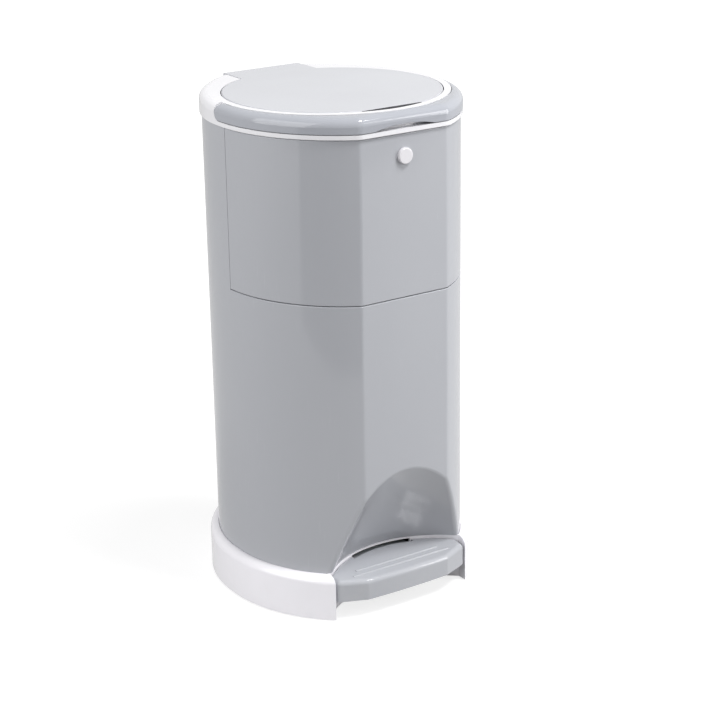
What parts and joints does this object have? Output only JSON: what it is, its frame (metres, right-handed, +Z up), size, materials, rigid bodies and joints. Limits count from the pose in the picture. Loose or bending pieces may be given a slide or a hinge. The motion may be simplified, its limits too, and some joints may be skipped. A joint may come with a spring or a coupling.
{
  "type": "litter disposal pail",
  "caption": "Tall pedal pail for used pet litter: round hinged lid, swing-up carry handle, front door with push button, arched toe recess and flared base.",
  "frame": {"origin": "on the floor, under the middle of the footprint (pedal front to base rear)", "axes": "+Z up, -Y towards the pedal and door, +X towards the door's hinge side"},
  "size_m": [0.27, 0.2772, 0.5235],
  "materials": {
    "grey_plastic": "gloss",
    "lid_plastic": "satin",
    "white_plastic": "gloss",
    "dark_plastic": "matte",
    "steel": "brushed",
    "rubber": "matte"
  },
  "bodies": {
    "pail": {"base_ring": "white_plastic", "base_screw_1": "steel", "base_screw_2": "steel", "base_screw_3": "steel", "base_screw_4": "steel", "bearing_block_left": "dark_plastic", "bearing_block_right": "dark_plastic", "body_shell": "grey_plastic", "collar": "white_plastic", "door_hinge_pin_lower": "steel", "door_hinge_pin_upper": "steel", "flap_pin_left": "steel", "flap_pin_right": "steel", "floor_plate": "dark_plastic", "funnel": "white_plastic", "handle_pin_left": "steel", "handle_pin_right": "steel", "inner_floor": "dark_plastic", "lid_hinge_pin": "steel", "liner_cassette": "dark_plastic", "pedal_shaft": "steel", "pedal_spring": "steel", "rod_cover": "dark_plastic", "rod_guide_lower": "dark_plastic", "rod_guide_upper": "dark_plastic", "rubber_foot_1": "rubber", "rubber_foot_2": "rubber", "rubber_foot_3": "rubber", "rubber_foot_4": "rubber"},
    "door": {"front_door": "grey_plastic", "latch_housing": "dark_plastic", "latch_spring": "steel", "cutter_housing": "dark_plastic", "cutter_blade": "steel"},
    "button": {"release_button": "white_plastic"},
    "latch": {"latch_bolt": "white_plastic"},
    "handle": {"carry_handle": "grey_plastic"},
    "lid": {"lid": "lid_plastic", "lid_seal": "rubber", "lid_crank": "dark_plastic"},
    "rod": {"push_rod": "steel"},
    "pedal": {"pedal": "grey_plastic"},
    "flap_left": {"flap_left": "dark_plastic"},
    "flap_right": {"flap_right": "dark_plastic"}
  },
  "joints": [
    {"name": "lid_hinge", "type": "hinge", "parent": "pail", "child": "lid", "pos_m": [0, 0.1224, 0.5193], "axis": [-1, 0, 0], "range_deg": [0, 80]},
    {"name": "rod_slide", "type": "slide", "parent": "pail", "child": "rod", "axis": [0, 0, 1], "range_m": [0, 0.01928]},
    {"name": "pedal_hinge", "type": "hinge", "parent": "pail", "child": "pedal", "pos_m": [0, -0.0241, 0.036], "axis": [1, 0, 0], "range_deg": [0, 8.3], "stiffness_Nm_per_rad": 0.05, "deforming": ["pedal_spring"]},
    {"name": "door_hinge", "type": "hinge", "parent": "pail", "child": "door", "pos_m": [0.1275, -0.0091, 0.416], "axis": [0, 0, 1], "range_deg": [0, 105]},
    {"name": "button_slide", "type": "slide", "parent": "door", "child": "button", "axis": [0, 1, 0], "range_m": [0, 0.0045], "stiffness_N_per_m": 150, "springref_m": -0.002},
    {"name": "latch_slide", "type": "slide", "parent": "door", "child": "latch", "axis": [0, 0, -1], "range_m": [0, 0.0045], "deforming": ["latch_spring"]},
    {"name": "handle_hinge", "type": "hinge", "parent": "pail", "child": "handle", "pos_m": [0, -0.0011, 0.5145], "axis": [-1, 0, 0], "range_deg": [0, 90]},
    {"name": "flap_left_hinge", "type": "hinge", "parent": "pail", "child": "flap_left", "pos_m": [-0.088, -0.0091, 0.445], "axis": [0, 1, 0], "range_deg": [0, 80], "stiffness_Nm_per_rad": 0.06, "springref_deg": -29.79},
    {"name": "flap_right_hinge", "type": "hinge", "parent": "pail", "child": "flap_right", "pos_m": [0.088, -0.0091, 0.445], "axis": [0, -1, 0], "range_deg": [0, 80], "stiffness_Nm_per_rad": 0.06, "springref_deg": -29.79}
  ],
  "couplings": [
    {"joint": "rod_slide", "follows": "lid_hinge", "m_per_rad": 0.013811},
    {"joint": "pedal_hinge", "follows": "lid_hinge", "ratio": 0.10373},
    {"joint": "latch_slide", "follows": "button_slide", "ratio": 1}
  ]
}
